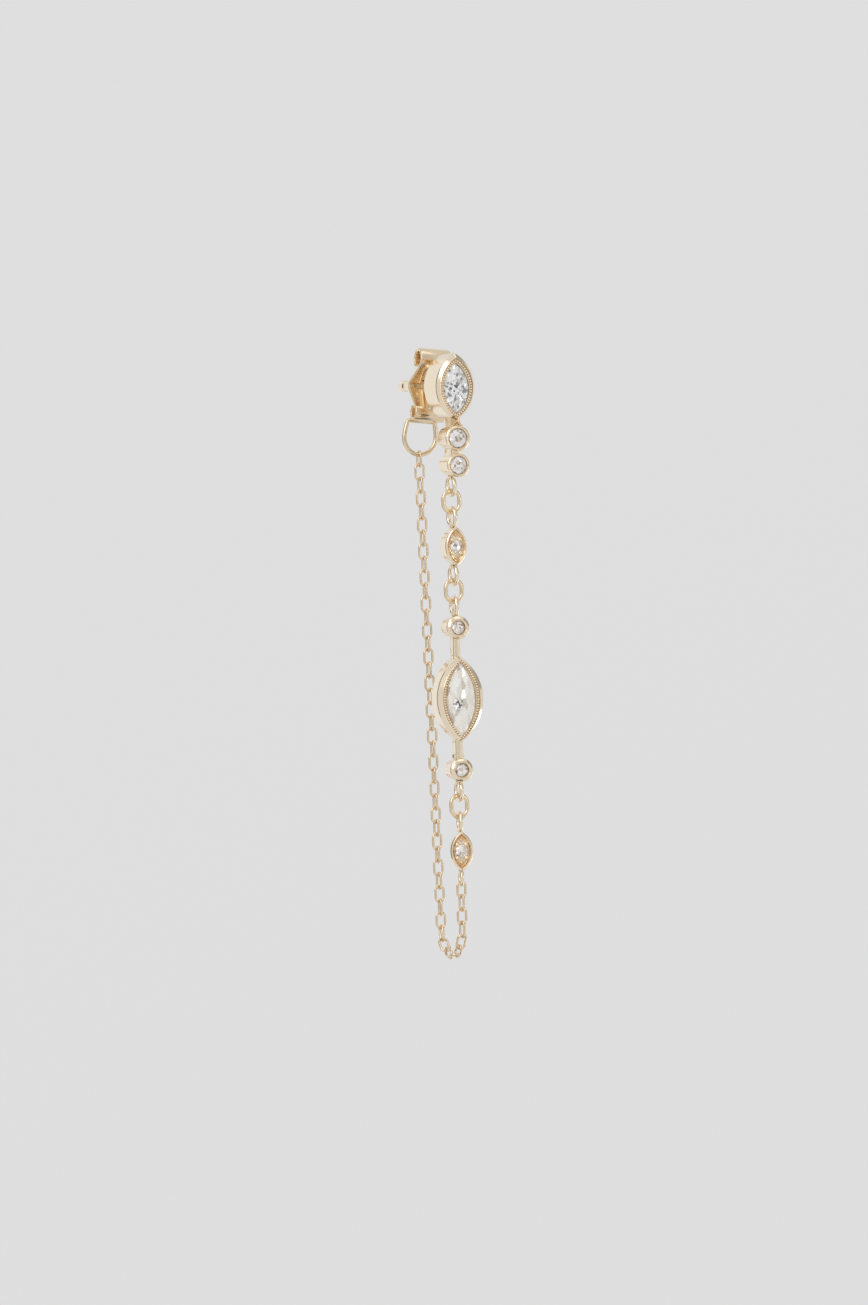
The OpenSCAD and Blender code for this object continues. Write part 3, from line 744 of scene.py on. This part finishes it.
def buildButterfly():
    heap = drilledStrip()
    y0, z0 = butterfly["bar"]
    ring = [(butterfly["side"] + u, y0, z0 + v) for u, v in ringPath()]
    addWire(heap, ring, butterfly["ringWire"] / 2, (0, 1, 0), sides=16)
    # solder where the bar meets the lower scroll
    for u in butterfly["solderAt"]:
        addBead(heap, (u, y0 - 0.08, z0 + 0.1), butterfly["solder"])
    # the whole back is turned a little on the post
    moveCorners(heap, 0, Matrix.Rotation(math.radians(butterfly["turn"]), 4, "Y"))
    # the back's darker gold is painted shade
    makePiece("butterflyBack", heap, [shadedGold], "butterfly_back")


buildButterfly()
print("friction back built")


# jump links
jump = {"long": 1.97, "wide": 1.6, "wire": 0.32, "strand": -1.4, "tops": (-7.59, -14.26, -30.37)}


def buildJumpLinks():
    for i, top in enumerate(jump["tops"]):
        heap = newHeap()
        flat = ovalPath(jump["long"] - jump["wire"], jump["wide"] - jump["wire"], steps=22)
        middle = top - jump["long"] / 2
        path = [(v, jump["strand"], middle + u) for u, v in flat]
        addWire(heap, path, jump["wire"] / 2, (0, 1, 0), sides=16)
        # the jump links' darker gold is painted shade
        makePiece(f"jumpLink{i + 1}", heap, [shadedGold], f"jump_link_{i + 1}")


buildJumpLinks()
print("jump links built")


# small marquise plates
smallPlate = {
    "length": 3.0, "width": 1.74, "deep": 1.4, "ahead": 0.85, "slim": 0.12, "tipShare": 1.15, "bevel": 0.1,
    "rimIn": 0.17, "floorIn": 0.3, "centreIn": 0.42, "hollow": 0.17, "shadeSpan": (0.15, 0.45),
    "stone": 0.96, "stoneIn": 0.13, "strand": -1.4, "loop": 1.73, "wire": 0.32, "sink": 0.2,
    # the collet round the stone: depth and what its radius differs by from the stone's
    "collet": ((0.06, 0.08), (0.0, 0.05), (0.0, 0.02), (0.08, -0.01), (0.3, -0.02)),
    # the grains that hold the stone, and two smaller ones towards the tips: x, height, how far
    # they stand out, size across, size in depth, and finish; the tip grains' darker finish is painted shade
    "grains": (
        (-0.33, 0.5, 0.03, 0.175, 0.16, 0), (0.33, 0.5, 0.03, 0.175, 0.16, 0),
        (-0.33, -0.5, 0.03, 0.175, 0.16, 0), (0.33, -0.5, 0.03, 0.175, 0.16, 0),
        (0, -0.86, 0.0, 0.15, 0.12, 1), (0, 0.86, 0.0, 0.15, 0.12, 1)),
    "solder": ((0.22, 0.36, 0.12), (0.22, 0.34, 0.12)),
    # height, turn in degrees, and the lower loop's size and wire
    "places": ((-11.91, 0, 1.73, 0.32), (-34.69, -14, 1.42, 0.28)),
}


def buildSmallPlate(number, z, yaw, lowLoop, lowWire):
    heap = newHeap()
    p = smallPlate
    front, half = -p["ahead"], p["length"] / 2
    floor = front + p["hollow"]
    profile = softProfile([
        (p["slim"] + 0.04, p["deep"], 0), (p["slim"], p["deep"] - 0.03, 0.03), (0, p["bevel"] + 0.03, 0.09),
        (p["bevel"], 0, 0.03), (p["rimIn"], 0, 0.015), (p["floorIn"], p["hollow"], 0.02),
        (p["centreIn"], p["hollow"] + 0.02, 0)])
    # the slope and floor of the hollow get the darker gold, painted shade
    loftBezel(
        heap, p["length"], p["width"], profile, front, True, p["tipShare"],
        tipOuter=0.08, tipInner=0.02, shadeSpan=p["shadeSpan"], shadeFinish=1)
    for x, high, out, wide, deep, finish in p["grains"]:
        addBead(heap, (x, floor - out, high), (wide, deep, wide), finish)
    r = p["stone"] / 2
    collet = [(along, r + more) for along, more in p["collet"]]
    # the collet takes the darker gold, painted shade in the hollow
    addTurned(heap, collet, "y", (0, floor, 0), sides=40, finish=1)
    addLoop(heap, half + p["loop"] - p["sink"], p["loop"], p["wire"])
    addLoop(heap, -half + p["sink"], lowLoop, lowWire)
    for end, size in zip((half - 0.04, -half + 0.04), p["solder"]):
        addBead(heap, (0, 0, end), size)
    place = Matrix.Translation((0, p["strand"], z)) @ Matrix.Rotation(math.radians(yaw), 4, "Z")
    moveCorners(heap, 0, place)
    finishes = [polishedGold, recessShadeGold, grooveShadeGold]
    makePiece(f"smallMarquise{number}", heap, finishes, f"small_marquise_{number}")
    stone = newHeap()
    addStone(stone, p["stone"], p["stone"], front + p["stoneIn"])
    moveCorners(stone, 0, place)
    name, node = f"smallMarquiseStone{number}", f"small_marquise_stone_{number}"
    makePiece(name, stone, [rosyReflectionFacets], node, smooth=0)


for number, place in enumerate(smallPlate["places"], 1):
    buildSmallPlate(number, *place)
print("small plates built")


# main station
station = {
    "length": 6.44, "width": 3.65, "deep": 2.2, "rim": 0.68, "tipShare": 0.65, "slim": 0.12,
    "ahead": 1.38, "z": -23.3, "yaw": -5, "bevelWide": 0.37, "bevelDeep": 0.44, "edge": 0.09,
    "grain": (0.085, 0.1, 0.09), "grainAt": 0.5, "drop": 0.05, "round": 1.8, "roundRim": 0.41,
    "roundDeep": 2.0, "roundAhead": 1.05, "rounds": (-17.98, -28.62),
    "grainDeep": 0.095, "pitch": 0.2, "bar": 0.56, "barDeep": 1.0, "barSoft": 0.17, "gap": 1.2,
    "loop": 1.73, "wire": 0.32, "tops": (-15.55, -29.32), "strand": -1.4,
    # the collar on the lower bar: place and radius
    "collar": ((0, 0.4), (0.05, 0.475), (0.29, 0.475), (0.34, 0.4)),
    "loopSolder": (0.26, 0.4, 0.1), "barSolder": (0.34, 0.5, 0.12),
}


def buildStation():
    rng = random.Random(31)
    s = station
    heap = newHeap()
    front = -s["ahead"]
    profile = bezelProfile(s["rim"], s["deep"], s["slim"], 0, s["bevelWide"], s["bevelDeep"], s["edge"])
    span = (s["bevelWide"] + 0.01, s["rim"] - 0.06)
    loftBezel(heap, s["length"], s["width"], profile, front, False, s["tipShare"], s["drop"], shadeSpan=span)
    addMilgrain(heap, s, front, rng)
    for z in s["rounds"]:
        addRoundBezel(
            heap, s["round"], s["roundRim"], s["roundDeep"], s["slim"], -s["roundAhead"], z - s["z"])
    half = s["length"] / 2
    inner, outer = half - 0.4, half + s["gap"] + 0.2
    for low, high in ((inner, outer), (-outer, -inner)):
        addBar(heap, s["bar"], s["barDeep"], low, high, soft=s["barSoft"])
    low = -half - s["gap"] - 0.05
    addTurned(heap, [(low + along, r) for along, r in s["collar"]], "z", (0, 0, 0), sides=36)
    for top in s["tops"]:
        addLoop(heap, top - s["z"], s["loop"], s["wire"])
    end = s["round"] / 2 - 0.02
    for z in (s["rounds"][0] - s["z"] + end, s["rounds"][1] - s["z"] - end):
        addBead(heap, (0, 0, z), s["loopSolder"])
    for z in (half + 0.02, -half - 0.02):
        addBead(heap, (0, 0, z), s["barSolder"])
    place = Matrix.Translation((0, s["strand"], s["z"])) @ Matrix.Rotation(math.radians(s["yaw"]), 4, "Z")
    moveCorners(heap, 0, place)
    makePiece("mainStation", heap, [polishedGold, recessShadeGold, grooveShadeGold], "main_station")
    long = s["length"] - 2 * s["tipShare"] * s["rim"]
    wide = s["width"] - 2 * s["rim"]
    spot = place @ Matrix.Translation((0, 0, -s["drop"]))
    cutStone("bigMarquiseStone", "big_marquise_stone", long, wide, s["rim"], front, spot, creamReflectionFacets)
    wide = s["round"] - 2 * s["roundRim"]
    for i, z in enumerate(s["rounds"]):
        spot = place @ Matrix.Translation((0, 0, z - s["z"]))
        name, node = f"mainRoundStone{i + 1}", f"main_round_stone_{i + 1}"
        cutStone(name, node, wide, wide, s["roundRim"], -s["roundAhead"], spot)


buildStation()
print("main station built")


# cable chain: straight down, round the turn and up to the D ring, in (y, z); side is where
# the rear run's top stands in x, and twist is how many degrees a link may turn about the run
chain = {
    "links": 46, "wire": 0.185, "wide": 0.83, "long": 1.38, "front": (-1.4, -37.61), "back": (2.7, -5.41),
    "turnMiddle": (0.74, -40.52), "turnRadius": 2.1, "side": -0.86, "twist": 8,
}


def buildChain():
    rng = random.Random(7)
    front, back, middle = Vector(chain["front"]), Vector(chain["back"]), Vector(chain["turnMiddle"])
    r = chain["turnRadius"]
    toFront, toBack = front - middle, back - middle
    a1 = math.atan2(toFront.y, toFront.x) + math.acos(r / toFront.length)
    a2 = 2 * math.pi + math.atan2(toBack.y, toBack.x) - math.acos(r / toBack.length)
    run1 = math.sqrt(toFront.length ** 2 - r * r)
    run2 = math.sqrt(toBack.length ** 2 - r * r)
    arc = r * (a2 - a1)

    def onTurn(a):
        return middle + r * Vector((math.cos(a), math.sin(a)))

    def spot(s):
        if s < run1:
            way = (onTurn(a1) - front).normalized()
            return front + s * way, way
        if s > run1 + arc:
            way = (back - onTurn(a2)).normalized()
            return onTurn(a2) + (s - run1 - arc) * way, way
        a = a1 + (s - run1) / r
        return onTurn(a), Vector((-math.sin(a), math.cos(a)))

    heap = newHeap()
    pitch = (run1 + arc + run2) / (chain["links"] - 1)
    flat = ovalPath(chain["long"] - chain["wire"], chain["wide"] - chain["wire"], steps=12)
    for i in range(chain["links"]):
        s = i * pitch
        p, way = spot(s)
        drift = chain["side"] * max(0, (s - run1 - arc) / run2)
        along = Vector((0, way.x, way.y))
        across = Vector((0, -way.y, way.x)) if i % 2 else Vector((1, 0, 0))
        turn = Matrix.Rotation(math.radians(rng.uniform(-chain["twist"], chain["twist"])), 3, along)
        across = turn @ across
        middlePoint = Vector((drift, p.x, p.y))
        path = [middlePoint + u * along + v * across for u, v in flat]
        addWire(heap, path, chain["wire"] / 2, along.cross(across), sides=10)
    makePiece("cableChain", heap, [chainGold], "cable_chain")


buildChain()
print("chain built")


# floor, backdrop and light
studio = {
    # the pale sheet: radiance and how cloudy it is, and its bend as a share of the radius
    "backdrop": 0.735, "mottle": 0.012, "radius": 900, "bend": 0.4, "floor": -240, "roof": 900,
    # name, azimuth, elevation, distance, half width and half height in degrees, radiance;
    # none of them shows in the picture, they only stand in the metal and the stones
    "panels": (
        ("upperLeftBox", -72, 39, 400, 14, 22, 2.0),
        ("stoneBox", -46, 22, 420, 11, 15, 2.0),
        ("sparkBox", 38, 6, 420, 4, 6, 3.2),
        ("lowerRightBox", 118, -21, 380, 9, 10, 2.2),
        ("overheadBox", 20, 72, 440, 16, 16, 1.2),
        ("backLeftPanel", -168, 0, 420, 18, 40, 0.86),
        ("leftShade", -124, 6, 360, 17, 32, 0.12),
        ("rightShade", 92, 24, 370, 26, 20, 0.36),
        ("underShade", 0, -86, 190, 18, 18, 0.15),
        ("lensShade", -22, 2, 700, 3, 3, 0.3),
        ("frontPanel", -12, 12, 740, 36, 34, 0.62),
    ),
}


# an even glow, or one that is a little cloudy by the spread
def glowFinish(name, strength, spread=0.0):
    material, tree = nodeTree(name)
    where = addNode(tree, "ShaderNodeTexCoord").outputs["Object"]
    cloud = addNode(tree, "ShaderNodeTexNoise", {"Vector": where, "Scale": 1.1, "Detail": 1.0})
    level = addNode(tree, "ShaderNodeMapRange", {
        "Value": cloud.outputs["Fac"], "From Min": 0.3, "From Max": 0.7,
        "To Min": strength - spread, "To Max": strength + spread})
    glow = addNode(tree, "ShaderNodeEmission", {"Color": (1, 1, 1, 1), "Strength": level.outputs["Result"]})
    addNode(tree, "ShaderNodeOutputMaterial", {"Surface": glow.outputs["Emission"]})
    return material


def buildStudio():
    aim = Vector(camera["aim"])
    # one seamless pale sheet: floor, curve, wall and roof
    radius = studio["radius"]
    bend = radius * studio["bend"]
    flatTo = radius - bend
    profile = [(0, studio["floor"]), (flatTo, studio["floor"])]
    curve = [math.radians(7.5 * i) for i in range(1, 13)]
    profile += [(flatTo + bend * math.sin(a), studio["floor"] + bend * (1 - math.cos(a))) for a in curve]
    profile += [(radius * math.cos(a), studio["roof"] - bend + bend * math.sin(a)) for a in curve]
    corners, sides = [], 64
    for r, z in profile:
        for k in range(sides):
            a = 2 * math.pi * k / sides
            corners.append((max(r, 0.01) * math.cos(a), max(r, 0.01) * math.sin(a), z))
    heap = newHeap()
    addShell(heap, corners, ringFaces(len(profile), sides, flip=True))
    sheet = looseObject("paleSheet", heap)
    sheet.data.materials.append(glowFinish("palePaper", studio["backdrop"], studio["mottle"]))
    sheet.data.shade_smooth()
    for name, azimuth, elevation, distance, halfWide, halfHigh, radiance in studio["panels"]:
        away = direction(azimuth, elevation)
        right = Vector((0, 0, 1)).cross(away).normalized()
        up = away.cross(right)
        middle = aim + away * distance
        right *= distance * math.tan(math.radians(halfWide))
        up *= distance * math.tan(math.radians(halfHigh))
        square = [middle + right * x + up * y for x, y in ((-1, -1), (1, -1), (1, 1), (-1, 1))]
        heap = newHeap()
        addShell(heap, square, [[0, 1, 2, 3]])
        panel = looseObject(name, heap)
        panel.data.materials.append(glowFinish(name, radiance))
        panel.visible_camera = False


buildStudio()
view = bpy.context.scene.view_settings
view.view_transform = "Standard"
view.look = "None"
world = bpy.data.worlds.new("paleRoom")
world.use_nodes = True
world.node_tree.nodes["Background"].inputs["Color"].default_value = (*[studio["backdrop"]] * 3, 1)
bpy.context.scene.world = world
print("studio lit")
